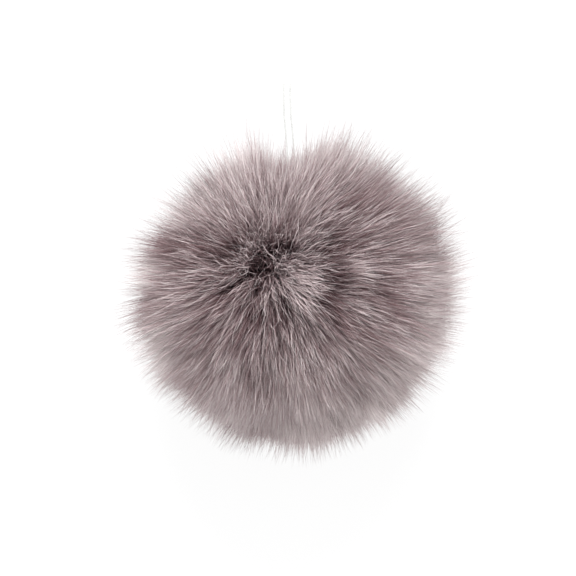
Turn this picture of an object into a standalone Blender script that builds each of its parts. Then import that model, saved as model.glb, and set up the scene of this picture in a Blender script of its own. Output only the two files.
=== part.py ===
"""A fur pom pom lying on its gathered base with its crown up, and the two loose ends of the thread
that gathers it. Metres, +Z up, origin at the centre of the flat spot it rests on.

The pom pom is one solid: a dense ball of pile with locks of hair fused to it at their roots. The
locks stand in rows round the ball and are combed away from the whorl, beside the crown, where the
hair parts. The lowest row lies level on the surface. The thread ends leave the base at the back,
between two locks, and lie on the surface."""

import math
import random

import bmesh
import bpy
from mathutils import Quaternion, Vector

# The dense ball under the locks: its outline from the top of the crown down to the flat spot.
# Columns: height, radius.
BALL_OUTLINE = (
    (0.0960, 0.0000),
    (0.0945, 0.0120),
    (0.0890, 0.0235),
    (0.0790, 0.0330),
    (0.0660, 0.0390),
    (0.0500, 0.0410),
    (0.0340, 0.0392),
    (0.0200, 0.0350),
    (0.0090, 0.0290),
    (0.0025, 0.0225),
    (0.0000, 0.0170),
)
BALL_SIDES = 28

# The whorl, where the hair parts, as seen from the ball's middle.
WHORL = Vector((-0.303, 0.216, 0.928)).normalized()
BALL_MIDDLE = Vector((-0.0021, 0.0000, 0.0500))
# How the locks lean away from the whorl, in degrees off the way straight out of the ball. Columns:
# degrees from the whorl, lean at the root, lean at the tip, length.
LOCK_FORM = (
    (0, 0, 0, 0.0190),
    (6, 9, 22, 0.0205),
    (15, 14, 34, 0.0230),
    (35, 14, 36, 0.0245),
    (60, 8, 28, 0.0245),
    (90, 2, 14, 0.0245),
    (125, 0, 4, 0.0250),
    (180, 0, 0, 0.0260),
)
ROWS = 13  # above the row that lies on the surface
ROW_PITCH = 0.0087
LOCK_PITCH = 0.0088  # between neighbouring roots of a row
LOCK_SIDES = 4
LOCK_STRAY = 0.05  # how far a root is off its even place in the row, in places
LOCK_SWAY = 2.5  # degrees by which a lock is off its lean
LOCK_TWIST = 15  # degrees by which a lock is turned about its own line
LOCK_UNEVEN = 0.06  # share by which a lock is longer or shorter than its place has it
LOCK_SUNK = 0.0025  # how far a root is fused into the ball
# How thick a lock is. Columns: share of its length, its half width along the row and its half
# thickness, both over the pitch.
LOCK_TAPER = (
    (0.00, 0.42, 0.36),
    (0.45, 0.53, 0.38),
    (0.80, 0.37, 0.26),
)
# A lock falls over its length by at most this share of its root's height over the lowest row.
FALL_SHARE = 0.32
LOWEST_ROW_TOP = 0.0075

# How far the tips reach from the middle, seen from above, with a notch between two tufts over the
# thread. Columns: direction in degrees, reach.
REACH = (
    (0, 0.0625),
    (25, 0.0660),
    (60, 0.0655),
    (78, 0.0675),
    (86, 0.0560),
    (96, 0.0525),
    (102, 0.0545),
    (108, 0.0680),
    (116, 0.0635),
    (135, 0.0605),
    (150, 0.0605),
    (160, 0.0670),
    (170, 0.0620),
    (190, 0.0640),
    (205, 0.0600),
    (220, 0.0575),
    (270, 0.0555),
    (300, 0.0540),
    (330, 0.0575),
    (360, 0.0625),
)
WIDEST = 0.0640  # the reach that LOCK_FORM gives at the ball's widest row
WIDEST_LENGTH = 0.0245  # the length of that row's locks
CROWN_OFFSET = -0.0110  # the crown sits this far to the left of the flat spot
CROWN_HEIGHT = 0.1150

# The row of locks that lies on the surface. Columns: radius from the axis, height of the underside,
# height of the top, width.
FLOOR_LOCK = (
    (0.0190, 0.0008, 0.0056, 0.0044),
    (0.0280, 0.0000, 0.0056, 0.0058),
    (0.0410, 0.0000, 0.0038, 0.0046),
)
FLOOR_LOCK_SHORT = 0.0080  # how far short of the reach these locks end
FLOOR_LOCKS = 15
FLOOR_GAP_AT = 90  # degrees: the thread ends pass between two of these locks

# The thread that gathers the base: two ends, side by side.
THREAD_DIAMETER = 0.0007
THREAD_SPACING = 0.0030
THREAD_LIE = THREAD_DIAMETER / 2 + 0.0001  # height of its centre on the surface
THREAD_STEP = 2.5 * THREAD_DIAMETER
# The middle line between the two ends. Columns: x, y, height of the thread's centre.
THREAD_ROUTE = (
    (0.0000, 0.0236, 0.0030),
    (0.0000, 0.0262, 0.0029),
    (-0.0002, 0.0300, 0.0017),
    (-0.0006, 0.0345, THREAD_LIE),
    (-0.0016, 0.0420, THREAD_LIE),
    (-0.0027, 0.0500, THREAD_LIE),
    (-0.0035, 0.0580, THREAD_LIE),
    (-0.0040, 0.0660, THREAD_LIE),
    (-0.0043, 0.0740, THREAD_LIE),
    (-0.0046, 0.0820, THREAD_LIE),
    (-0.0052, 0.0900, THREAD_LIE),
    (-0.0058, 0.0970, THREAD_LIE),
    (-0.0060, 0.1040, THREAD_LIE),
    (-0.0060, 0.1110, THREAD_LIE),
)

FUR_COLOUR = (0.34, 0.28, 0.285)
THREAD_COLOUR = (0.86, 0.86, 0.85)


def read(table, at):
    """The row of a table at a value of its first column, between two rows by straight lines."""
    for low, high in zip(table, table[1:]):
        if at <= high[0]:
            share = (at - low[0]) / (high[0] - low[0])
            return [a + (b - a) * share for a, b in zip(low[1:], high[1:])]
    return list(table[-1][1:])


def reach(direction):
    """How far the tips reach this way, seen from above."""
    return read(REACH, direction % 360)[0]


def cloth(name, colour, roughness):
    material = bpy.data.materials.new(name)
    material.use_nodes = True
    shader = material.node_tree.nodes["Principled BSDF"]
    shader.inputs["Base Color"].default_value = (*colour, 1)
    shader.inputs["Roughness"].default_value = roughness
    shader.inputs["Metallic"].default_value = 0
    return material


def to_object(name, shape, material=None):
    mesh = bpy.data.meshes.new(name)
    shape.to_mesh(mesh)
    shape.free()
    if material:
        mesh.materials.append(material)
    made = bpy.data.objects.new(name, mesh)
    bpy.context.scene.collection.objects.link(made)
    return made


def leaned(point):
    """The point once the ball has leaned over: the higher it is, the further it goes to the left."""
    share = max(0.0, point.z / CROWN_HEIGHT)
    return Vector((point.x + CROWN_OFFSET * share**2, point.y, point.z))


def ball():
    """The dense ball, spun from its outline and closed by the flat spot."""
    shape = bmesh.new()
    outline = [shape.verts.new((radius, 0, height)) for height, radius in BALL_OUTLINE]
    edges = [shape.edges.new(pair) for pair in zip(outline, outline[1:])]
    bmesh.ops.spin(
        shape,
        geom=outline + edges,
        cent=(0, 0, 0),
        axis=(0, 0, 1),
        angle=math.tau,
        steps=BALL_SIDES,
        use_merge=True,
    )
    bmesh.ops.remove_doubles(shape, verts=shape.verts, dist=1e-5)
    bmesh.ops.holes_fill(shape, edges=[e for e in shape.edges if e.is_boundary])
    for vertex in shape.verts:
        vertex.co = leaned(vertex.co)
    bmesh.ops.recalc_face_normals(shape, faces=shape.faces)
    return shape


def outline_steps():
    """Each straight step of the outline: its length, its two ends, and the way out of the ball."""
    steps = []
    for (z0, r0), (z1, r1) in zip(BALL_OUTLINE, BALL_OUTLINE[1:]):
        along = Vector((r1 - r0, 0, z1 - z0))
        outwards = Vector((-along.z, 0, along.x)).normalized()
        steps.append((along.length, Vector((r0, 0, z0)), Vector((r1, 0, z1)), outwards))
    return steps


def way_down():
    """The length of the outline from the crown to the flat spot."""
    return sum(step[0] for step in outline_steps())


def on_outline(distance):
    """The point of the outline this far from the crown, and the way out of the ball there."""
    steps = outline_steps()
    for number, (length, start, end, outwards) in enumerate(steps):
        if distance <= length or number == len(steps) - 1:
            return start.lerp(end, distance / length), outwards
        distance -= length


def turned(point, degrees):
    angle = math.radians(degrees)
    cosine, sine = math.cos(angle), math.sin(angle)
    return Vector((point.x * cosine - point.y * sine, point.x * sine + point.y * cosine, point.z))


def add_spike(shape, rings, tip):
    """A closed spike through rings of points, from the root to the tip."""
    rows = [[shape.verts.new(point) for point in ring] for ring in rings]
    shape.faces.new(rows[0][::-1])
    for low, high in zip(rows, rows[1:]):
        for side in range(len(low)):
            after = (side + 1) % len(low)
            shape.faces.new((low[side], low[after], high[after], high[side]))
    end = shape.verts.new(tip)
    for side in range(len(rows[-1])):
        shape.faces.new((rows[-1][side], rows[-1][(side + 1) % len(rows[-1])], end))


def from_whorl(root, outwards):
    """How many degrees a root is from the whorl, and the way along the ball that leads away."""
    way_out = (root - BALL_MIDDLE).normalized()
    away = way_out - WHORL * way_out.dot(WHORL)
    away -= outwards * away.dot(outwards)
    return math.degrees(way_out.angle(WHORL)), away.normalized()


def lock_way(root, outwards, away, lean, length):
    """The way a lock goes at this lean, no steeper down than the row on the surface lets it."""
    way = outwards * math.cos(math.radians(lean)) + away * math.sin(math.radians(lean))
    way.z = max(way.z, -FALL_SHARE * (root.z - LOWEST_ROW_TOP) / length)
    return way.normalized()


def on_line(root, bend, tip, share):
    """The point at this share of a lock's curved middle line."""
    return root.lerp(bend, share).lerp(bend.lerp(tip, share), share)


def add_lock(shape, distance, direction, chance):
    """One lock, rooted on the outline this far from the crown and turned to its direction. It bends
    from one lean to the other."""
    flat_root, flat_outwards = on_outline(distance)
    root = leaned(turned(flat_root, direction))
    outwards = turned(flat_outwards, direction)
    angle, away = from_whorl(root, outwards)
    starts, ends, length = read(LOCK_FORM, angle)
    sideways = min(1, 2 * distance / way_down())
    longer = sideways * (reach(direction) - WIDEST) / WIDEST_LENGTH
    length *= 1 + longer + chance.uniform(-LOCK_UNEVEN, LOCK_UNEVEN)
    sway = chance.uniform(-LOCK_SWAY, LOCK_SWAY)
    bend = root + lock_way(root, outwards, away, starts + sway, length) * length / 2
    tip = bend + lock_way(root, outwards, away, ends + sway, length) * length / 2
    twist = math.radians(chance.uniform(-LOCK_TWIST, LOCK_TWIST))
    rings = []
    for at, wide, thick in LOCK_TAPER:
        middle = on_line(root, bend, tip, at)
        if at == 0:
            middle -= outwards * LOCK_SUNK
        ahead = (bend.lerp(tip, at) - root.lerp(bend, at)).normalized()
        over = ahead.cross(turned(Vector((0, 1, 0)), direction)).normalized()
        over.rotate(Quaternion(ahead, twist))
        along_row = over.cross(ahead)
        ring = []
        for side in range(LOCK_SIDES):
            turn = math.tau * side / LOCK_SIDES
            spoke = along_row * wide * math.cos(turn) + over * thick * math.sin(turn)
            ring.append(middle + spoke * LOCK_PITCH)
        rings.append(ring)
    add_spike(shape, rings, tip)


def add_rows(shape):
    """The rows of locks from the crown down to the row above the surface."""
    chance = random.Random(5)
    for row in range(ROWS):
        distance = row * ROW_PITCH
        radius = on_outline(distance)[0].x
        count = max(1, int(math.tau * radius / LOCK_PITCH))
        for number in range(count):
            turn = number + row % 2 / 2 + chance.uniform(-LOCK_STRAY, LOCK_STRAY)
            add_lock(shape, distance, 360 * turn / count, chance)


def add_floor_row(shape):
    """The locks that lie level on the surface, with room for the thread ends between two of them."""
    for number in range(FLOOR_LOCKS):
        direction = FLOOR_GAP_AT + 360 / FLOOR_LOCKS * (number + 0.5)
        rings = []
        for radius, under, top, width in FLOOR_LOCK:
            corners = ((-width / 2, under), (width / 2, under), (width / 2, top), (-width / 2, top))
            rings.append([leaned(turned(Vector((radius, y, z)), direction)) for y, z in corners])
        tip = reach(direction) - FLOOR_LOCK_SHORT
        add_spike(shape, rings, turned(Vector((tip, 0, 0)), direction))


def pom_pom():
    """The ball and its locks, fused into one solid."""
    locks = bmesh.new()
    add_rows(locks)
    add_floor_row(locks)
    bmesh.ops.recalc_face_normals(locks, faces=locks.faces)
    body = to_object("fur_ball", ball(), cloth("fur", FUR_COLOUR, 0.9))
    spikes = to_object("locks", locks)
    spikes.hide_render = True
    spikes.display_type = "WIRE"
    fuse = body.modifiers.new("fuse_locks", "BOOLEAN")
    fuse.operation = "UNION"
    fuse.object = spikes


def smooth_route(points):
    """Points THREAD_STEP apart on a smooth curve through the route."""
    route = [Vector(p) for p in points]
    padded = [2 * route[0] - route[1], *route, 2 * route[-1] - route[-2]]
    fine = []
    for a, b, c, d in zip(padded, padded[1:], padded[2:], padded[3:]):
        pieces = max(1, round((c - b).length / THREAD_STEP))
        for piece in range(pieces):
            t = piece / pieces
            straight = 2 * b + (c - a) * t
            bend = (2 * a - 5 * b + 4 * c - d) * t**2 + (3 * b - a - 3 * c + d) * t**3
            fine.append((straight + bend) / 2)
    return [*fine, route[-1]]


def thread_end(name, shift, material):
    """One loose end of the gathering thread, a round tube."""
    line = smooth_route([(x + shift, y, z) for x, y, z in THREAD_ROUTE])
    curve = bpy.data.curves.new(name, "CURVE")
    curve.dimensions = "3D"
    curve.bevel_depth = THREAD_DIAMETER / 2
    curve.bevel_resolution = 2
    curve.use_fill_caps = True
    spline = curve.splines.new("POLY")
    spline.points.add(len(line) - 1)
    for point, place in zip(spline.points, line):
        point.co = (*place, 1)
    curve.materials.append(material)
    made = bpy.data.objects.new(name, curve)
    bpy.context.scene.collection.objects.link(made)


def main():
    for old in list(bpy.data.objects):
        bpy.data.objects.remove(old)
    pom_pom()
    white = cloth("thread", THREAD_COLOUR, 0.6)
    thread_end("thread_end_left", -THREAD_SPACING / 2, white)
    thread_end("thread_end_right", THREAD_SPACING / 2, white)


main()
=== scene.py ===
"""The looks of a pom pom of long fur that lies on its gathered base with its crown up: the two
loose ends of its gathering thread, its fur strand by strand, and a white floor in soft light.

Metres, +Z up, origin at the centre of the flat spot. A direction is an angle about +Z from +X, and
a share of the way is 0 at the crown and 1 at the edge of the flat spot."""

import math

import bpy
import numpy as np
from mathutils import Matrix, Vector, kdtree


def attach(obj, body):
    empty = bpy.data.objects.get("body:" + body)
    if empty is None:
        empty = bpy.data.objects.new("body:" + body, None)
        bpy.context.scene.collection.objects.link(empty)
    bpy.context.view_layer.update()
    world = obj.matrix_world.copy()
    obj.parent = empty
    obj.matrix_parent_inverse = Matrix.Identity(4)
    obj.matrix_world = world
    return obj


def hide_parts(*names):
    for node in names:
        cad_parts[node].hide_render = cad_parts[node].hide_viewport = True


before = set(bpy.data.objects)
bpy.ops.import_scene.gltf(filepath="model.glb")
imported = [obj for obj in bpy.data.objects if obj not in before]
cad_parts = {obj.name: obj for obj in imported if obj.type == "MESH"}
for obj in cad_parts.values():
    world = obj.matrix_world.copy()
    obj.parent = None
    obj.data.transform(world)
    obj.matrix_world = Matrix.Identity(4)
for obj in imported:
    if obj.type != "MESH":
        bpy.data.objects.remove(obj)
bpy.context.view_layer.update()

# ---- Camera: it looks down on the pom pom from the side that faces -Y.
ELEVATION = 77  # degrees over the floor
DISTANCE = 0.63
LENS = 100  # mm
SENSOR = 36  # mm
PICTURE = 576  # pixels
POM_CENTRE = Vector((-0.0026, 0.0014, 0.0560))
CENTRE_AT = (295.5, 297)  # where the photograph shows the pom pom's middle, in pixels

# ---- Thread ends: two, side by side, on the route that their solids take.
THREAD_DIAMETER = 0.0007
THREAD_SPACING = 0.0030
THREAD_LIE = THREAD_DIAMETER / 2 + 0.0001  # height of its centre on the floor
# The middle line between the two ends. Columns: x, y, height of the thread's centre.
THREAD_ROUTE = (
    (0.0000, 0.0236, 0.0030),
    (0.0000, 0.0262, 0.0029),
    (-0.0002, 0.0300, 0.0017),
    (-0.0006, 0.0345, THREAD_LIE),
    (-0.0016, 0.0420, THREAD_LIE),
    (-0.0027, 0.0500, THREAD_LIE),
    (-0.0035, 0.0580, THREAD_LIE),
    (-0.0040, 0.0660, THREAD_LIE),
    (-0.0043, 0.0740, THREAD_LIE),
    (-0.0046, 0.0820, THREAD_LIE),
    (-0.0052, 0.0900, THREAD_LIE),
    (-0.0058, 0.0970, THREAD_LIE),
    (-0.0060, 0.1040, THREAD_LIE),
    (-0.0060, 0.1110, THREAD_LIE),
)
THREAD_RING_EVERY = 0.0004
THREAD_SIDES = 12
PLY_TURN = 0.0022  # length of one turn of the two plies round each other
PLY_GROOVE = 0.22  # how deep the groove between them is, over the radius

# ---- Fur: the dense ball that the hair grows from, as the solid has it. Columns: height, radius.
BALL_OUTLINE = (
    (0.0960, 0.0000),
    (0.0945, 0.0120),
    (0.0890, 0.0235),
    (0.0790, 0.0330),
    (0.0660, 0.0390),
    (0.0500, 0.0410),
    (0.0340, 0.0392),
    (0.0200, 0.0350),
    (0.0090, 0.0290),
    (0.0025, 0.0225),
    (0.0000, 0.0170),
)
OUTLINE_STEP = 0.001
CROWN_OFFSET = -0.0110  # the crown sits this far to the left of the flat spot
CROWN_HEIGHT = 0.1150
ROOT_DEPTH = 0.0030  # how far under the ball's surface the hair starts

# The whorl is where the hair parts, and the hair is combed away from it over the whole ball.
WHORL = Vector((-0.303, 0.216, 0.928)).normalized()  # seen from the ball's middle
BALL_MIDDLE = Vector((-0.0021, 0.0000, 0.0500))
# How far the hair leans away from the whorl, in degrees off the way straight out of the ball.
# Columns: degrees from the whorl, lean at the root, lean at the tip, length past the surface, tone,
# how much the strands differ in tone, how much they gather in locks. The tone is darker towards the
# whorl, as painted shade of the hollow where the hair parts.
HAIR_FORM = (
    (0, 0, 0, 0.0165, -0.26, 0.36, 1.0),
    (6, 9, 22, 0.0195, -0.22, 0.38, 1.0),
    (15, 14, 34, 0.0230, -0.14, 0.38, 1.0),
    (35, 14, 36, 0.0245, -0.06, 0.38, 0.9),
    (60, 8, 28, 0.0245, -0.06, 0.38, 0.8),
    (90, 2, 14, 0.0245, -0.08, 0.36, 0.8),
    (125, 0, 4, 0.0250, -0.09, 0.32, 0.8),
    (180, 0, 0, 0.0260, 0.00, 0.20, 0.8),
)
# Round its widest the pom pom is soft and even. Columns: height of the tip, how much of their
# difference in tone the strands keep, and of their gathering, and of the dark of their lower part.
# Keeping less of that dark paints the hair paler round its widest, as painted light.
RIM_FORM = (
    (0.012, 1.00, 1.00, 1.00),
    (0.050, 0.08, 0.25, 0.36),
    (0.068, 0.08, 0.25, 0.36),
    (0.084, 0.34, 0.55, 0.62),
    (0.102, 1.00, 1.00, 1.00),
)
FLOOR_SHARE = 0.80  # of its height over the floor that hair may lose on its way to the tip
FLOOR_ROOTS = 0.0010  # hair that is rooted no higher than this doesn't fall
FLOOR_CLEAR = 0.0003
FLOOR_SPREAD = 0.0012  # hair on the floor lies up to this much higher, by chance
# How far the hair reaches from the middle, seen from above. Columns: direction, reach.
REACH = (
    (0, 0.0625),
    (25, 0.0660),
    (60, 0.0655),
    (78, 0.0675),
    (86, 0.0570),
    (96, 0.0545),
    (101, 0.0560),
    (105, 0.0660),
    (108, 0.0680),
    (116, 0.0635),
    (135, 0.0605),
    (150, 0.0605),
    (160, 0.0670),
    (170, 0.0620),
    (190, 0.0640),
    (205, 0.0600),
    (220, 0.0575),
    (270, 0.0555),
    (300, 0.0540),
    (330, 0.0575),
    (360, 0.0625),
)
WIDEST = 0.0630  # the reach that HAIR_FORM gives at the ball's widest
WIDEST_LENGTH = 0.0245

# Lines along which the hair parts and the dark lower pile shows, or closes up into a pale ridge.
# Places are where the hair shows to the camera, from the pom pom's middle to the right and up.
# Columns: x and y of one end, x and y of the other, width, degrees that the hair turns away from
# the line, share by which it is longer, tone. A dark tone is painted shade in the parting; a pale
# one paints the ridge paler.
PARTINGS = (
    (-0.0170, 0.0110, -0.0300, 0.0026, 0.0030, 24, -0.30, -0.40),
    (-0.0340, 0.0175, -0.0250, 0.0220, 0.0036, 22, -0.28, -0.38),
    (-0.0080, 0.0212, 0.0060, 0.0205, 0.0028, 14, -0.28, -0.80),
    (-0.0185, 0.0208, -0.0160, 0.0190, 0.0024, 14, -0.15, -0.50),
    (-0.0220, 0.0105, -0.0195, 0.0120, 0.0022, 14, -0.15, -0.60),
    (0.0140, 0.0215, 0.0260, 0.0235, 0.0032, 10, -0.10, -0.30),
    (0.0065, -0.0080, 0.0165, -0.0170, 0.0028, 8, -0.06, -0.32),
    (-0.0185, 0.0155, -0.0170, 0.0135, 0.0022, 14, -0.20, -0.50),
    (-0.0048, -0.0012, -0.0025, -0.0085, 0.0030, 18, -0.30, -0.75),
    (-0.0115, -0.0050, -0.0100, -0.0090, 0.0026, 14, -0.20, -0.60),
    (-0.0185, -0.0030, -0.0175, -0.0090, 0.0022, 14, -0.20, -0.40),
    (-0.0060, -0.0150, -0.0070, -0.0195, 0.0026, 12, -0.10, -0.30),
    (-0.0130, 0.0090, -0.0155, 0.0020, 0.0024, 14, -0.20, -0.40),
    (-0.0098, 0.0195, -0.0090, 0.0150, 0.0024, 20, -0.30, -0.80),
    (-0.0120, 0.0140, -0.0145, 0.0105, 0.0028, 20, -0.30, -0.80),
    (0.0130, 0.0080, 0.0185, 0.0030, 0.0038, 18, -0.20, -0.55),
    (0.0095, 0.0000, 0.0125, -0.0035, 0.0026, 16, -0.18, -0.34),
    (0.0080, 0.0100, 0.0085, 0.0060, 0.0025, 10, -0.08, -0.25),
    (0.0005, 0.0125, 0.0036, 0.0060, 0.0048, -4, 0.10, 0.55),
    (0.0036, 0.0060, 0.0020, -0.0030, 0.0043, -4, 0.10, 0.95),
    (0.0020, -0.0035, 0.0075, -0.0090, 0.0030, -4, 0.06, 0.35),
    (0.0055, 0.0110, 0.0105, 0.0030, 0.0028, -4, 0.04, 0.20),
    (0.0285, 0.0145, 0.0310, 0.0110, 0.0044, -5, 0.08, 1.10),
    (0.0065, 0.0255, 0.0155, 0.0315, 0.0028, -6, 0.06, 0.75),
    (-0.0250, 0.0110, -0.0225, 0.0140, 0.0026, -6, 0.06, 0.30),
    (-0.0275, 0.0160, -0.0225, 0.0205, 0.0030, -4, 0.04, 0.80),
    (-0.0205, 0.0280, -0.0185, 0.0240, 0.0028, -4, 0.04, 0.80),
    (-0.0055, 0.0095, -0.0062, 0.0025, 0.0028, -4, 0.04, 0.60),
    (-0.0090, 0.0005, -0.0088, -0.0030, 0.0024, -4, 0.06, 0.90),
    (-0.0052, 0.0180, -0.0030, 0.0145, 0.0028, 0, 0.04, 0.75),
)
# Lines along which the hair is only paler or darker: partly the fur's own tone and partly painted
# light and painted shade, paler on the top where the light falls and darker in the valleys.
# Columns: x and y of one end, x and y of the other, width, tone.
TONE_AND_PAINTED_LIGHT = (
    (-0.0300, 0.0430, -0.0100, 0.0460, 0.0110, 0.32),
    (-0.0055, 0.0375, 0.0040, 0.0400, 0.0062, 0.75),
    (0.0060, 0.0400, 0.0110, 0.0400, 0.0040, 0.15),
    (0.0085, 0.0225, 0.0110, 0.0160, 0.0042, 0.25),
    (-0.0390, 0.0030, -0.0340, 0.0070, 0.0030, 0.34),
    (-0.0460, 0.0110, -0.0400, 0.0130, 0.0026, 0.60),
    (-0.0350, -0.0140, -0.0290, -0.0080, 0.0030, 0.22),
    (-0.0600, 0.0130, -0.0600, 0.0080, 0.0040, 0.40),
    (-0.0605, -0.0150, -0.0600, -0.0180, 0.0036, 0.34),
    (0.0540, 0.0070, 0.0620, 0.0060, 0.0040, 0.18),
    (0.0400, -0.0200, 0.0500, -0.0240, 0.0040, 0.20),
    (-0.0130, -0.0240, 0.0060, -0.0260, 0.0060, 0.30),
    (-0.0070, -0.0350, 0.0030, -0.0390, 0.0050, 0.42),
    (0.0260, -0.0005, 0.0320, -0.0060, 0.0040, 0.30),
    (0.0220, -0.0230, 0.0270, -0.0280, 0.0050, 0.40),
    (0.0140, -0.0460, 0.0330, -0.0480, 0.0050, 0.32),
    (0.0310, -0.0470, 0.0340, -0.0510, 0.0040, 0.30),
    (0.0540, -0.0090, 0.0530, -0.0220, 0.0050, 0.25),
    (-0.0260, -0.0080, -0.0190, -0.0010, 0.0030, 0.32),
    (-0.0290, -0.0280, -0.0325, -0.0390, 0.0032, 0.25),
    (-0.0550, -0.0290, -0.0550, -0.0350, 0.0050, 0.75),
    (-0.0500, 0.0310, -0.0480, 0.0360, 0.0045, 0.20),
    (0.0160, 0.0270, 0.0220, 0.0340, 0.0060, -0.34),
    (0.0110, 0.0350, 0.0150, 0.0370, 0.0032, -0.15),
    (0.0240, 0.0400, 0.0320, 0.0420, 0.0050, -0.35),
    (0.0220, 0.0290, 0.0420, 0.0300, 0.0080, -0.16),
    (0.0370, 0.0350, 0.0430, 0.0410, 0.0050, -0.18),
    (0.0360, -0.0030, 0.0450, -0.0120, 0.0060, -0.27),
    (0.0400, -0.0045, 0.0620, -0.0050, 0.0040, -0.18),
    (0.0260, 0.0070, 0.0360, 0.0055, 0.0045, -0.27),
    (0.0330, 0.0190, 0.0400, 0.0160, 0.0050, -0.15),
    (0.0460, 0.0130, 0.0530, 0.0120, 0.0030, -0.20),
    (0.0280, 0.0210, 0.0350, 0.0200, 0.0030, -0.25),
    (0.0030, -0.0310, 0.0060, -0.0370, 0.0030, -0.20),
    (-0.0510, 0.0080, -0.0470, 0.0020, 0.0042, -0.25),
    (-0.0450, 0.0190, -0.0400, 0.0170, 0.0030, -0.32),
    (-0.0490, -0.0270, -0.0470, -0.0340, 0.0036, -0.25),
    (-0.0090, 0.0500, -0.0030, 0.0490, 0.0036, -0.16),
    (-0.0340, 0.0490, -0.0310, 0.0520, 0.0034, -0.28),
    (-0.0190, -0.0150, -0.0160, -0.0180, 0.0036, -0.20),
    (-0.0420, 0.0180, -0.0320, 0.0020, 0.0090, -0.20),
    (-0.0360, 0.0190, -0.0250, 0.0280, 0.0050, -0.20),
    (-0.0350, 0.0000, -0.0310, -0.0040, 0.0045, -0.22),
    (-0.0380, 0.0380, -0.0320, 0.0480, 0.0050, -0.16),
    (-0.0560, 0.0180, -0.0530, 0.0260, 0.0048, -0.38),
    (-0.0585, 0.0000, -0.0585, -0.0085, 0.0044, -0.34),
    (-0.0400, -0.0130, -0.0380, -0.0200, 0.0060, -0.15),
    (-0.0370, -0.0320, -0.0350, -0.0360, 0.0036, -0.22),
    (-0.0240, -0.0140, -0.0130, -0.0030, 0.0075, -0.20),
    (0.0110, -0.0300, 0.0130, -0.0370, 0.0030, -0.28),
    (0.0240, -0.0310, 0.0280, -0.0400, 0.0060, -0.18),
    (0.0170, -0.0010, 0.0230, -0.0140, 0.0055, -0.50),
    (0.0185, 0.0150, 0.0205, 0.0110, 0.0038, -0.55),
    (0.0010, 0.0225, 0.0040, 0.0195, 0.0025, -0.70),
    (-0.0092, 0.0180, -0.0085, 0.0140, 0.0020, -0.75),
    (-0.0230, 0.0125, -0.0205, 0.0115, 0.0024, -0.60),
    (-0.0190, 0.0210, -0.0170, 0.0205, 0.0024, -0.35),
    (-0.0025, 0.0010, 0.0040, -0.0060, 0.0020, -0.45),
    (-0.0290, 0.0055, -0.0240, 0.0095, 0.0022, -0.30),
    (-0.0270, 0.0275, -0.0245, 0.0285, 0.0030, -0.32),
    (-0.0160, -0.0280, -0.0150, -0.0330, 0.0028, -0.25),
    (-0.0090, 0.0470, -0.0070, 0.0480, 0.0036, -0.25),
    (-0.0150, -0.0575, -0.0080, -0.0585, 0.0034, -0.30),
    (0.0215, 0.0500, 0.0210, 0.0450, 0.0030, -0.20),
    (0.0200, 0.0125, 0.0240, 0.0120, 0.0024, -0.10),
    (0.0560, 0.0245, 0.0590, 0.0235, 0.0035, -0.25),
    (0.0330, -0.0290, 0.0350, -0.0260, 0.0036, -0.12),
    (-0.0045, 0.0180, -0.0025, 0.0170, 0.0022, 0.60),
    (-0.0178, 0.0105, -0.0150, 0.0165, 0.0020, 0.40),
    (-0.0250, 0.0030, -0.0205, 0.0080, 0.0024, 0.40),
    (-0.0270, 0.0165, -0.0215, 0.0215, 0.0024, 0.40),
    (-0.0060, 0.0345, -0.0020, 0.0345, 0.0030, 0.45),
    (0.0040, -0.0110, 0.0110, -0.0190, 0.0030, 0.20),
    (-0.0380, 0.0245, -0.0350, 0.0225, 0.0028, 0.20),
    (-0.0320, 0.0320, -0.0290, 0.0310, 0.0028, 0.20),
    (0.0230, 0.0335, 0.0250, 0.0330, 0.0030, 0.40),
    (0.0300, 0.0240, 0.0360, 0.0255, 0.0026, 0.16),
    (0.0420, 0.0450, 0.0430, 0.0440, 0.0040, 0.20),
    (0.0280, 0.0560, 0.0300, 0.0550, 0.0040, 0.20),
    (-0.0010, -0.0570, 0.0080, -0.0600, 0.0050, 0.24),
)
PARTINGS_FROM = 0.040  # only hair that shows higher than this takes part
# Of a hair's length, how far it goes the way of its root and of its tip to where it shows most.
SHOWN_ROOT = 0.48
SHOWN_TIP = 0.32
# Hair that its partings and patches make darker than DEEP_FROM has its colours from further down
# it, by at most DEEPEST of its length: painted shade, darker where the hair lies deep.
DEEP_FROM = 0.30
DEEPEST = 0.55

# Hair close together drifts one way.
DRIFT_SEED = 5
WAVES = 16
WAVE_LENGTHS = (0.009, 0.026)  # the shortest and the longest
DRIFT_SWAY = 7  # degrees
DRIFT_UNEVEN = 0.045  # share by which hair is longer or shorter
DRIFT_TONE = 0.07
# How the hair gathers, from big tufts to fine locks. Columns: how many, degrees that each strays,
# how far the one above draws its end in, share by which they differ in length, tone over the
# strands' own.
GATHERED = (
    (300, 7, 0.00, 0.07, 0.25),
    (2400, 6, 0.35, 0.08, 0.20),
    (22000, 5, 0.45, 0.08, 0.15),
)
GATHER_SEED = 11
GATHER_STRAY = 0.3  # how far chance moves a lock's root off its even place
GATHER_POWER = 1.3  # the higher it is, the nearer to its tip a hair is drawn in
GUIDE_STEPS = 12  # straight pieces in a lock's line
STRAND_SWAY = 7  # degrees
STRAND_PULL = 0.40  # how far a lock draws in the ends of its strands
PULL_RANGE = (0.3, 1.5)  # the least and the most of that, by chance
WISP_PULL = 0.4  # how much of it a wisp keeps
WAVER = 0.0004  # how far a strand wavers off its line at the tip
WHORL_SWAY = 20  # degrees more at the whorl, where the hair crosses
WHORL_WAVER = 1.5  # how much more it wavers there
WHORL_SIZE = 22  # degrees from the whorl over which both fade
# Streaks of paler and darker hair run away from the whorl.
STREAK_SEED = 7
STREAK_WAVES = 30
STREAK_COUNTS = (30, 190)  # fewest and most waves round the whorl
STREAK_BEND = 5  # how far they twist round it on the way, radians for each radian away
STREAK_TONE = 0.14
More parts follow.
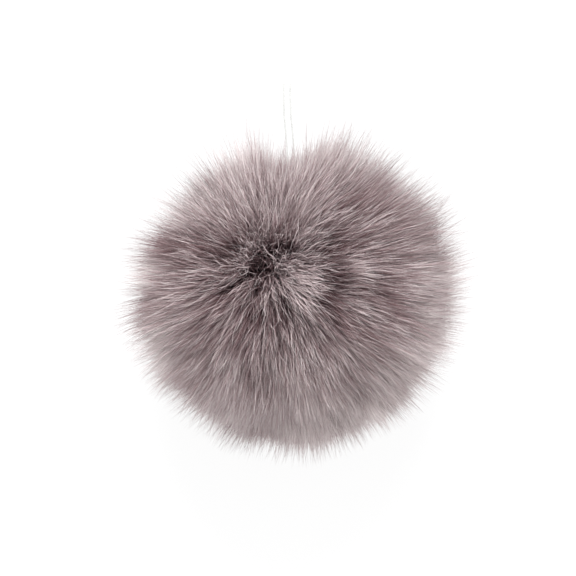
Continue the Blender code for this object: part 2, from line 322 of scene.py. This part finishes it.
# The kinds of hair. Columns: pieces, strands in each, full width, shortest, longest, tone, how much
# the strands differ.
FUR_KINDS = {
    "fur_under": (3, 34000, 0.00025, 0.45, 0.88, -0.22, 0.8),
    "fur_guard": (2, 32000, 0.00017, 0.66, 1.06, 0.08, 1.5),
    "fur_wisp": (1, 26000, 0.00012, 0.98, 1.55, -0.18, 1.0),
}
SEEDS_APART = 100  # how far the seeds of one kind's first piece and the next one's lie apart
WISPS = "fur_wisp"
WISP_POWER = 2  # the higher it is, the fewer of the wisps are long
LONGEST = 1.45  # no strand is longer than this, over its length in HAIR_FORM
STRAND_STEPS = (0, 0.45, 0.75, 1)
STRAND_WIDTHS = (0.8, 1.0, 0.75)  # at each step but the last, over its full width
WIDTH_RANGE = (0.6, 1.4)  # the least and the most of its full width, by chance
FACING_CHANCE = 0.8  # how much chance there is in the way that a strand's flat side faces
MIDDLE_TONE = 0.5  # halfway from the darkest strands to the palest
TONE_LIMITS = (0.02, 0.98)
UV_MAP = "OFBake"
UV_HALF_WIDTH = 1.4 / 1024  # half the width of a strand's strip in the UV map

# The dense short pile under the strands is a ball a little smaller than the one they grow from.
UNDERCOAT_AROUND = 96
UNDERCOAT_ROWS = 64
UNDERCOAT_RADIUS = 0.95  # over the ball's
UNDERCOAT_HEIGHT = 0.97  # over the ball's
# Columns: waves round it, turns that the waves take on the way down, how deep they are.
UNDERCOAT_LUMPS = (
    (9, 5, 0.020),
    (17, -9, 0.015),
)

# ---- Colours, linear.
FUR_ROOT = (0.030, 0.019, 0.020)
FUR_LOW = (0.110, 0.078, 0.080)
# The darkest and the palest strands. Columns: share of the length, colour.
DARK_STRAND = (
    (0.00, (0.022, 0.010, 0.011)),
    (0.35, (0.048, 0.024, 0.026)),
    (0.64, (0.106, 0.058, 0.062)),
    (0.84, (0.155, 0.096, 0.100)),
    (1.00, (0.185, 0.144, 0.144)),
)
PALE_STRAND = (
    (0.00, (0.090, 0.062, 0.065)),
    (0.35, (0.230, 0.168, 0.173)),
    (0.64, (0.490, 0.385, 0.392)),
    (0.84, (0.720, 0.628, 0.628)),
    (1.00, (0.740, 0.710, 0.705)),
)
HAIR_ROUGHNESS = 0.6
HAIR_SHEEN = 0.02
SHEEN_ROUGHNESS = 0.5
HAIR_SPECULAR = 0.1
THREAD_GREY = (0.36, 0.36, 0.35)
THREAD_WHITE = (0.56, 0.56, 0.55)
# Mottled surfaces: the darker colour, the paler one, the size of the spots in metres, the roughness
# and how strongly the spots are raised.
THREAD_LOOK = (THREAD_GREY, THREAD_WHITE, 0.0003, 0.6, 0.2)
UNDERCOAT_LOOK = (FUR_ROOT, FUR_LOW, 0.002, 0.9, 0.4)
DARKER_AT = 0.3  # where in the noise each of their colours is reached
PALER_AT = 0.7
NOISE_DETAIL = 4
# The floor is a lit table: it glows just white, and what falls on it leaves hardly any shadow.
FLOOR_COLOUR = (0.06, 0.06, 0.06)
FLOOR_GLOW = 0.87
FLOOR_ROUGHNESS = 0.7
FLOOR_HALF = 3.0

# ---- Light: a white room and two round lights. Columns: place, diameter, watts.
ROOM_GLOW = 0.70
LIGHTS = {
    "key": ((0.0, 0.65, 0.75), 0.6, 18),
    "fill": ((0.0, -0.90, 0.50), 0.8, 18),
}


def curve_through(points, spacing):
    """Points about this far apart on a smooth curve through the given ones."""
    route = np.array(points, float)
    padded = np.vstack([2 * route[0] - route[1], route, 2 * route[-1] - route[-2]])
    fine = []
    for a, b, c, d in zip(padded, padded[1:], padded[2:], padded[3:]):
        pieces = max(1, round(np.linalg.norm(c - b) / spacing))
        t = (np.arange(pieces) / pieces)[:, None]
        bend = (2 * a - 5 * b + 4 * c - d) * t**2 + (3 * b - a - 3 * c + d) * t**3
        fine.append((2 * b + (c - a) * t + bend) / 2)
    return np.vstack([*fine, route[-1:]])


def unit(vectors):
    return vectors / np.maximum(np.linalg.norm(vectors, axis=-1, keepdims=True), 1e-12)


def leaned(points):
    """The points once the ball has leaned: the higher a point is, the further it goes left."""
    moved = points.copy()
    moved[..., 0] += CROWN_OFFSET * np.maximum(0, points[..., 2] / CROWN_HEIGHT) ** 2
    return moved


# ---------------------------------------------------------------- camera


def camera_axes():
    """The ways from the pom pom to the camera, to the picture's right and to its top."""
    rise = math.radians(ELEVATION)
    back = Vector((0, -math.cos(rise), math.sin(rise)))
    right = Vector((1, 0, 0))
    return back, right, back.cross(right)


def make_camera():
    back, right, up = camera_axes()
    pixel = DISTANCE * SENSOR / LENS / PICTURE
    across = (CENTRE_AT[0] - PICTURE / 2) * pixel
    down = (CENTRE_AT[1] - PICTURE / 2) * pixel
    target = POM_CENTRE - right * across + up * down
    data = bpy.data.cameras.new("camera")
    data.lens = LENS
    data.sensor_width = SENSOR
    camera = bpy.data.objects.new("camera", data)
    camera.location = target + back * DISTANCE
    camera.rotation_mode = "QUATERNION"
    camera.rotation_quaternion = (-back).to_track_quat("-Z", "Y")
    bpy.context.scene.collection.objects.link(camera)
    bpy.context.scene.camera = camera


# ---------------------------------------------------------------- materials


def new_material(name, roughness, sheen=0.0, specular=0.5):
    """A material, its nodes, its links and its shader, with what is the same all over it."""
    material = bpy.data.materials.new(name)
    material.use_nodes = True
    nodes = material.node_tree.nodes
    shader = nodes["Principled BSDF"]
    shader.inputs["Roughness"].default_value = roughness
    shader.inputs["Specular IOR Level"].default_value = specular
    shader.inputs["Sheen Weight"].default_value = sheen
    shader.inputs["Sheen Roughness"].default_value = SHEEN_ROUGHNESS
    return material, nodes, material.node_tree.links, shader


def ramp(nodes, stops):
    """A colour ramp. Columns: place, colour."""
    made = nodes.new("ShaderNodeValToRGB")
    elements = made.color_ramp.elements
    while len(elements) < len(stops):
        elements.new(0.5)
    for element, (place, colour) in zip(elements, stops):
        element.position = place
        element.color = (*colour, 1)
    return made


def strand_material(name):
    """Hair: dark at the root and pale at the tip, each strand in its own tone."""
    material, nodes, links, shader = new_material(name, HAIR_ROUGHNESS, HAIR_SHEEN, HAIR_SPECULAR)
    place = nodes.new("ShaderNodeUVMap")
    place.uv_map = UV_MAP
    parts = nodes.new("ShaderNodeSeparateXYZ")
    toned = nodes.new("ShaderNodeMix")
    toned.data_type = "RGBA"
    colours = {socket.identifier: socket for socket in toned.inputs}
    links.new(place.outputs["UV"], parts.inputs["Vector"])
    links.new(parts.outputs["X"], toned.inputs["Factor"])
    for end, stops in (("A_Color", DARK_STRAND), ("B_Color", PALE_STRAND)):
        along = ramp(nodes, stops)
        links.new(parts.outputs["Y"], along.inputs["Fac"])
        links.new(along.outputs["Color"], colours[end])
    links.new(toned.outputs[2], shader.inputs["Base Color"])
    return material


def mottled_material(name, dark, pale, size, roughness, bump):
    """A cloth-like surface mottled between two colours."""
    material, nodes, links, shader = new_material(name, roughness)
    where = nodes.new("ShaderNodeTexCoord")
    noise = nodes.new("ShaderNodeTexNoise")
    noise.inputs["Scale"].default_value = 1 / size
    noise.inputs["Detail"].default_value = NOISE_DETAIL
    colours = ramp(nodes, ((DARKER_AT, dark), (PALER_AT, pale)))
    raised = nodes.new("ShaderNodeBump")
    raised.inputs["Strength"].default_value = bump
    raised.inputs["Distance"].default_value = size / 2
    links.new(where.outputs["Object"], noise.inputs["Vector"])
    links.new(noise.outputs["Fac"], colours.inputs["Fac"])
    links.new(colours.outputs["Color"], shader.inputs["Base Color"])
    links.new(noise.outputs["Fac"], raised.inputs["Height"])
    links.new(raised.outputs["Normal"], shader.inputs["Normal"])
    return material


# ---------------------------------------------------------------- meshes


def make_mesh(name, points, corners, sizes, material, uv=None):
    """An object from arrays: its points, the corners of all its faces in turn, how many corners
    each face has, and each point's place in the UV map."""
    mesh = bpy.data.meshes.new(name)
    mesh.vertices.add(len(points))
    mesh.vertices.foreach_set("co", np.ascontiguousarray(points, np.float32).ravel())
    mesh.loops.add(len(corners))
    mesh.loops.foreach_set("vertex_index", np.ascontiguousarray(corners, np.int32))
    mesh.polygons.add(len(sizes))
    starts = np.concatenate([[0], np.cumsum(sizes)[:-1]]).astype(np.int32)
    mesh.polygons.foreach_set("loop_start", starts)
    mesh.update(calc_edges=True)
    if uv is not None:
        layer = mesh.uv_layers.new(name=UV_MAP)
        layer.data.foreach_set("uv", np.ascontiguousarray(uv[corners], np.float32).ravel())
    mesh.polygons.foreach_set("use_smooth", np.ones(len(sizes), bool))
    mesh.materials.append(material)
    made = bpy.data.objects.new(name, mesh)
    bpy.context.scene.collection.objects.link(made)
    return made


def thread_end(name, shift, material):
    """One loose end: two plies twisted round each other, as one closed tube along the route."""
    line = curve_through([(x + shift, y, z) for x, y, z in THREAD_ROUTE], THREAD_RING_EVERY)
    ahead = unit(np.gradient(line, axis=0))
    across = unit(np.cross(ahead, (0, 0, 1)))
    above = np.cross(across, ahead)
    gone = np.concatenate([[0], np.cumsum(np.linalg.norm(np.diff(line, axis=0), axis=1))])
    angle = math.tau * np.arange(THREAD_SIDES) / THREAD_SIDES
    twist = math.tau * gone[:, None] / PLY_TURN
    groove = PLY_GROOVE * np.cos(angle[None, :] - twist) ** 2
    radius = (THREAD_DIAMETER / 2 * (1 - groove))[..., None]
    spokes = across[:, None] * np.cos(angle)[:, None] + above[:, None] * np.sin(angle)[:, None]
    points = (line[:, None] + spokes * radius).reshape(-1, 3)
    rings = len(line)
    index = np.arange(rings * THREAD_SIDES).reshape(rings, THREAD_SIDES)
    after = np.roll(index, -1, axis=1)
    quads = np.stack([index[:-1], after[:-1], after[1:], index[1:]], axis=-1).reshape(-1)
    corners = np.concatenate([quads, index[0][::-1], index[-1]])
    sizes = [4] * (len(quads) // 4) + [THREAD_SIDES] * 2
    made = make_mesh(name, points, corners, sizes, material)
    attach(made, "root")
    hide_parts(name.replace("twisted", "thread_end"))


# ---------------------------------------------------------------- fur


def ball_outline():
    """Along the ball's outline: the share of the way, the height, the radius, how far the way out
    of the ball rises, in radians, and the share of the ball's surface so far."""
    fine = curve_through(BALL_OUTLINE, OUTLINE_STEP)
    steps = np.linalg.norm(np.diff(fine, axis=0), axis=1)
    gone = np.concatenate([[0], np.cumsum(steps)])
    wide = (fine[1:, 1] + fine[:-1, 1]) / 2
    area = np.concatenate([[0], np.cumsum(steps * wide)])
    fall = np.gradient(fine, axis=0)
    slope = np.arctan2(fall[:, 1], -fall[:, 0])
    return gone / gone[-1], fine[:, 0], np.maximum(fine[:, 1], 0), slope, area / area[-1]


SHARES, HEIGHTS, RADII, SLOPES, AREAS = ball_outline()


def column(table, at, number):
    """One column of a table, read at values of its first column."""
    rows = np.array(table, float)
    return np.interp(at, rows[:, 0], rows[:, number])


def near_line(places, x0, y0, x1, y1, width):
    """How near each place is to a line, 1 on it, how far it lies to the line's left, and the way
    that is its left."""
    start, line = np.array((x0, y0)), np.array((x1 - x0, y1 - y0))
    left = np.array((-line[1], line[0])) / np.linalg.norm(line)
    along = np.clip((places - start) @ line / (line @ line), 0, 1)
    off = places - start - along[:, None] * line
    return np.exp(-(off**2).sum(-1) / width**2), off @ left, left


def parted(shown):
    """What the partings and patches do to hair that shows here: its turn, its length over what it
    had, and its tone, with painted shade in the partings and painted light and shade in the
    patches."""
    back, right, up = (np.array(axis) for axis in camera_axes())
    from_centre = shown - np.array(POM_CENTRE)
    nearer = DISTANCE / (DISTANCE - from_centre @ back)
    places = from_centre @ np.stack([right, up], -1) * nearer[:, None]
    high = shown[:, 2] > PARTINGS_FROM
    turned = np.zeros_like(shown)
    length = np.ones(len(shown))
    tone = np.zeros(len(shown))
    for *ends, width, turn, longer, shade in PARTINGS:
        near, off, left = near_line(places, *ends, width)
        near = near * high
        side = np.tanh(off / (width / 2))
        turned += math.radians(turn) * (near * side)[:, None] * (left[0] * right + left[1] * up)
        length += longer * near
        # A parting's dark tone is painted shade.
        tone += shade * near
    # Patches: the fur's own tone mixed with painted light and painted shade.
    for *ends, width, shade in TONE_AND_PAINTED_LIGHT:
        near, _, _ = near_line(places, *ends, width)
        tone += shade * (near * high)
    return turned, length, tone


def drift(places):
    """Smooth chance over space: five values for each place, each about 1 off 0. Three are a way,
    one is for the length and one for the tone."""
    chance = np.random.default_rng(DRIFT_SEED)
    ways = unit(chance.normal(0, 1, (WAVES, 3)))
    waves = ways * math.tau / chance.uniform(*WAVE_LENGTHS, (WAVES, 1))
    phases = chance.uniform(0, math.tau, (WAVES, 5))
    angles = (places @ waves.T)[..., None] + phases
    return np.sin(angles).sum(1) * math.sqrt(2 / WAVES)


def streaks(ways):
    """Smooth chance in streaks away from the whorl: one value for each way, about 1 off 0."""
    chance = np.random.default_rng(STREAK_SEED)
    whorl = np.array(WHORL)
    side = unit(np.cross(whorl, (0, 1, 0)))
    around = np.arctan2(ways @ np.cross(whorl, side), ways @ side)
    away = np.arccos(np.clip(ways @ whorl, -1, 1))
    counts = chance.integers(*STREAK_COUNTS, STREAK_WAVES)
    bends = chance.normal(0, STREAK_BEND, STREAK_WAVES)
    phases = chance.uniform(0, math.tau, STREAK_WAVES)
    angles = around[:, None] * counts + away[:, None] * bends + phases
    return np.sin(angles).sum(1) * math.sqrt(2 / STREAK_WAVES)


class Hairs:
    """Many hairs, each a curve from its root through a bend to its tip."""

    def __init__(self, share, direction, length, sway, chance):
        count = len(share)
        outwards = np.stack([np.cos(direction), np.sin(direction), np.zeros(count)], -1)
        upwards = np.array((0.0, 0.0, 1.0))
        radius, height, slope = (
            np.interp(share, SHARES, row)[:, None] for row in (RADII, HEIGHTS, SLOPES)
        )
        surface = leaned(outwards * radius + upwards * height)
        normal = outwards * np.cos(slope) + upwards * np.sin(slope)
        way_out = unit(surface - np.array(BALL_MIDDLE))
        facing = way_out @ np.array(WHORL)
        angle = np.degrees(np.arccos(np.clip(facing, -1, 1)))
        comb = way_out - np.array(WHORL) * facing[:, None]
        comb = unit(comb - normal * (comb * normal).sum(-1, keepdims=True))
        reach = column(REACH, np.degrees(direction) % 360, 1)
        longer = np.clip(2 * share, 0, 1) * (reach - WIDEST) / WIDEST_LENGTH
        self.length = column(HAIR_FORM, angle, 3) * (1 + longer)
        leans = [np.radians(column(HAIR_FORM, angle, number))[:, None] for number in (1, 2)]
        ways = [normal * np.cos(lean) + comb * np.sin(lean) for lean in leans]
        shown = surface + (SHOWN_ROOT * ways[0] + SHOWN_TIP * ways[1]) * self.length[:, None]
        turned, parting_length, self.tone = parted(shown)
        # Painted shade: hair darkened by its partings and patches takes darker colours from lower
        # down it.
        self.deep = np.clip(-self.tone - DEEP_FROM, 0, DEEPEST)
        drifted = drift(surface)
        length = np.minimum(parting_length * length * (1 + DRIFT_UNEVEN * drifted[:, 3]), LONGEST)
        self.length *= length
        # HAIR_FORM's tone darkens the hair towards the whorl as painted shade; the drift's tone is
        # random.
        self.tone += column(HAIR_FORM, angle, 4) + DRIFT_TONE * drifted[:, 4]
        self.whorled = np.exp(-((angle / WHORL_SIZE) ** 2))
        sway = np.radians(sway + WHORL_SWAY * self.whorled)[:, None]
        stray = chance.normal(0, 1, (count, 3)) * sway + turned
        stray += math.radians(DRIFT_SWAY) * drifted[:, :3]
        lowest = -FLOOR_SHARE * np.maximum(surface[:, 2] - FLOOR_ROOTS, 0) / self.length
        for number, part in ((0, 0.5), (1, 1.0)):
            way = unit(ways[number] + stray * part)
            way[:, 2] = np.maximum(way[:, 2], lowest)
            ways[number] = unit(way)
        half = (self.length + ROOT_DEPTH)[:, None] / 2
        self.root = surface - ways[0] * ROOT_DEPTH
        self.bend = self.root + ways[0] * half
        self.tip = self.bend + ways[1] * half
        # Round the widest the strands show less of their dark lower part: painted light.
        self.differs, even_gathers, self.colours = (
            column(RIM_FORM, self.tip[:, 2], number) for number in (1, 2, 3)
        )
        self.tone += STREAK_TONE * self.differs * streaks(unit(self.tip - np.array(BALL_MIDDLE)))
        self.speckle = column(HAIR_FORM, angle, 5) * self.differs
        self.gathers = column(HAIR_FORM, angle, 6) * even_gathers

    def at(self, t):
        """The points at this share of each hair's length."""
        low = self.root + (self.bend - self.root) * t
        return low + (self.bend + (self.tip - self.bend) * t - low) * t


def even_places(count, chance, stray):
    """Places spread evenly over the ball, each a golden angle on from the last: the share of the
    way and the direction of each."""
    order = np.arange(count) + 0.5 + chance.normal(0, stray * math.sqrt(count), count)
    share = np.interp(np.clip(order / count, 0, 1), AREAS, SHARES)
    direction = np.arange(count) * math.pi * (3 - math.sqrt(5))
    return share, (direction + chance.normal(0, stray, count)) % math.tau


def nearest(places, others):
    """For each place, the number of the nearest of the others."""
    tree = kdtree.KDTree(len(others))
    for number, place in enumerate(others):
        tree.insert(place, number)
    tree.balance()
    return np.array([tree.find(place)[1] for place in places])


def drawn_in(hairs, guides, lines, group, pull, steps):
    """The hairs' points at these steps, drawn to their guides' lines more and more to the tip."""
    ratio = hairs.length / guides.length[group]
    rows = []
    for t in steps:
        at = np.clip(ratio * t, 0, 1) * GUIDE_STEPS
        low = np.minimum(at.astype(int), GUIDE_STEPS - 1)
        part = (at - low)[:, None]
        guide = lines[group, low] * (1 - part) + lines[group, low + 1] * part
        own = hairs.at(t)
        rows.append(own + (guide - own) * (pull * t**GATHER_POWER)[:, None])
    return np.stack(rows, axis=1)


def make_guides():
    """The fine locks that the strands follow, their lines and their tones."""
    chance = np.random.default_rng(GATHER_SEED)
    steps = np.linspace(0, 1, GUIDE_STEPS + 1)
    above, lines, tones = None, None, None
    for count, sway, pull, uneven, shade in GATHERED:
        length = 1 + chance.normal(0, uneven, count)
        locks = Hairs(*even_places(count, chance, GATHER_STRAY), length, sway, chance)
        tone = chance.normal(0, shade, count)
        if above is None:
            lines = np.stack([locks.at(t) for t in steps], axis=1)
        else:
            group = nearest(locks.root, above.root)
            lines = drawn_in(locks, above, lines, group, np.full(count, pull), steps)
            tone += tones[group]
        above, tones = locks, tone
    return above, lines, tones


def make_strands(name, seed, kind, guides, material):
    """One piece of the fur: tapered strands, each gathered into its lock."""
    count, full, shortest, longest, tone, differ = kind
    locks, lines, lock_tone = guides
    steps = np.array(STRAND_STEPS)
    wispy = name.startswith(WISPS)
    chance = np.random.default_rng(seed)
    share = np.interp(chance.uniform(0, 1, count), AREAS, SHARES)
    direction = chance.uniform(0, math.tau, count)
    power, pull_kept = (WISP_POWER, WISP_PULL) if wispy else (1, 1)
    length = shortest + (longest - shortest) * chance.uniform(0, 1, count) ** power
    hairs = Hairs(share, direction, length, STRAND_SWAY, chance)
    group = nearest(hairs.root, locks.root)
    pull = STRAND_PULL * hairs.gathers * chance.uniform(*PULL_RANGE, count) * pull_kept
    points = drawn_in(hairs, locks, lines, group, pull, steps)
    waver = WAVER * (1 + WHORL_WAVER * hairs.whorled)[:, None, None] * steps[:, None]
    points += chance.normal(0, 1, points.shape) * waver
    low = FLOOR_CLEAR + chance.uniform(0, FLOOR_SPREAD, count)[:, None]
    points[..., 2] = np.maximum(points[..., 2], low)
    ahead = unit(np.gradient(points, axis=1))
    away = unit(points - np.array(BALL_MIDDLE))
    facing = away + FACING_CHANCE * unit(chance.normal(0, 1, (count, 1, 3)))
    across = unit(np.cross(ahead, facing))
    width = full * chance.uniform(*WIDTH_RANGE, count)
    half = across[:, :-1] * (width[:, None] * np.array(STRAND_WIDTHS) / 2)[..., None]
    rings = len(STRAND_WIDTHS)
    a_strand = 2 * rings + 1
    vertices = np.empty((count, a_strand, 3))
    vertices[:, 0 : 2 * rings : 2] = points[:, :-1] - half
    vertices[:, 1 : 2 * rings : 2] = points[:, :-1] + half
    vertices[:, -1] = points[:, -1]
    one = []
    for ring in range(rings - 1):
        one += [2 * ring, 2 * ring + 1, 2 * ring + 3, 2 * ring + 2]
    one += [2 * rings - 2, 2 * rings - 1, 2 * rings]
    corners = (np.arange(count)[:, None] * a_strand + np.array(one)).reshape(-1)
    sizes = np.tile([4] * (rings - 1) + [3], count)
    shade = MIDDLE_TONE + tone * (1 if wispy else hairs.differs) + hairs.tone
    shade += (lock_tone[group] + chance.normal(0, 1, count)) * hairs.speckle * differ
    shade = np.clip(shade, *TONE_LIMITS)
    # Colours from further along each strand: paler round the widest as painted light, darker where
    # it lies deep as painted shade.
    along = np.maximum(1 - (1 - steps) * hairs.colours[:, None] - hairs.deep[:, None], 0)
    uv = np.empty((count, a_strand, 2))
    uv[:, 0 : 2 * rings : 2, 0] = shade[:, None] - UV_HALF_WIDTH
    uv[:, 1 : 2 * rings : 2, 0] = shade[:, None] + UV_HALF_WIDTH
    uv[:, -1, 0] = shade
    uv[:, 0 : 2 * rings : 2, 1] = along[:, :-1]
    uv[:, 1 : 2 * rings : 2, 1] = along[:, :-1]
    uv[:, -1, 1] = along[:, -1]
    piece = make_mesh(name, vertices.reshape(-1, 3), corners, sizes, material, uv.reshape(-1, 2))
    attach(piece, "root")
    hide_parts("fur_ball")


def make_undercoat(material):
    """The dense short pile that closes the gaps between the strands: a lumpy ball."""
    around, rows = UNDERCOAT_AROUND, UNDERCOAT_ROWS
    share = np.linspace(0, 1, rows)
    direction = math.tau * np.arange(around) / around
    radius = np.interp(share, SHARES, RADII)[:, None]
    height = np.interp(share, SHARES, HEIGHTS)[:, None]
    lumps = UNDERCOAT_RADIUS
    for waves, turns, depth in UNDERCOAT_LUMPS:
        lumps = lumps + depth * np.sin(waves * direction + turns * share[:, None] * math.tau)
    x, y = radius * lumps * np.cos(direction), radius * lumps * np.sin(direction)
    z = np.broadcast_to(np.maximum(height * UNDERCOAT_HEIGHT, FLOOR_CLEAR), x.shape)
    points = leaned(np.stack([x, y, z], -1)).reshape(-1, 3)
    index = np.arange(rows * around).reshape(rows, around)
    after = np.roll(index, -1, axis=1)
    quads = np.stack([index[1:-1], index[2:], after[2:], after[1:-1]], axis=-1).reshape(-1)
    fan = np.stack([np.full(around, index[0, 0]), index[1], after[1]], -1).reshape(-1)
    corners = np.concatenate([quads, fan, index[-1][::-1]])
    sizes = [4] * (len(quads) // 4) + [3] * around + [around]
    piece = make_mesh("fur_undercoat", points, corners, sizes, material)
    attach(piece, "root")
    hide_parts("fur_ball")


# ---------------------------------------------------------------- floor and light


def make_floor():
    material, _, _, shader = new_material("floor", FLOOR_ROUGHNESS)
    shader.inputs["Base Color"].default_value = (*FLOOR_COLOUR, 1)
    shader.inputs["Emission Color"].default_value = (1, 1, 1, 1)
    shader.inputs["Emission Strength"].default_value = FLOOR_GLOW
    half = FLOOR_HALF
    points = np.array([(-half, -half, 0), (half, -half, 0), (half, half, 0), (-half, half, 0)])
    floor = make_mesh("floor", points, np.array([0, 1, 2, 3]), [4], material)


def area_light(name, place, size, power):
    """A round light that shines at the pom pom's middle."""
    data = bpy.data.lights.new(name, "AREA")
    data.shape = "DISK"
    data.size = size
    data.energy = power
    light = bpy.data.objects.new(name, data)
    light.location = place
    light.rotation_mode = "QUATERNION"
    light.rotation_quaternion = (POM_CENTRE - Vector(place)).to_track_quat("-Z", "Y")
    bpy.context.scene.collection.objects.link(light)


def make_light():
    world = bpy.data.worlds.new("studio")
    world.use_nodes = True
    background = world.node_tree.nodes["Background"]
    background.inputs["Color"].default_value = (1, 1, 1, 1)
    background.inputs["Strength"].default_value = ROOM_GLOW
    bpy.context.scene.world = world
    for name, (place, size, power) in LIGHTS.items():
        area_light(name, place, size, power)


def main():
    bpy.context.scene.view_settings.view_transform = "Standard"
    make_camera()
    white = mottled_material("thread", *THREAD_LOOK)
    thread_end("twisted_left", -THREAD_SPACING / 2, white)
    thread_end("twisted_right", THREAD_SPACING / 2, white)
    make_undercoat(mottled_material("undercoat", *UNDERCOAT_LOOK))
    hair = strand_material("fur")
    guides = make_guides()
    for order, (name, (pieces, *kind)) in enumerate(FUR_KINDS.items()):
        for number in range(pieces):
            make_strands(f"{name}_{number + 1}", SEEDS_APART * order + number, kind, guides, hair)
    make_floor()
    make_light()


main()
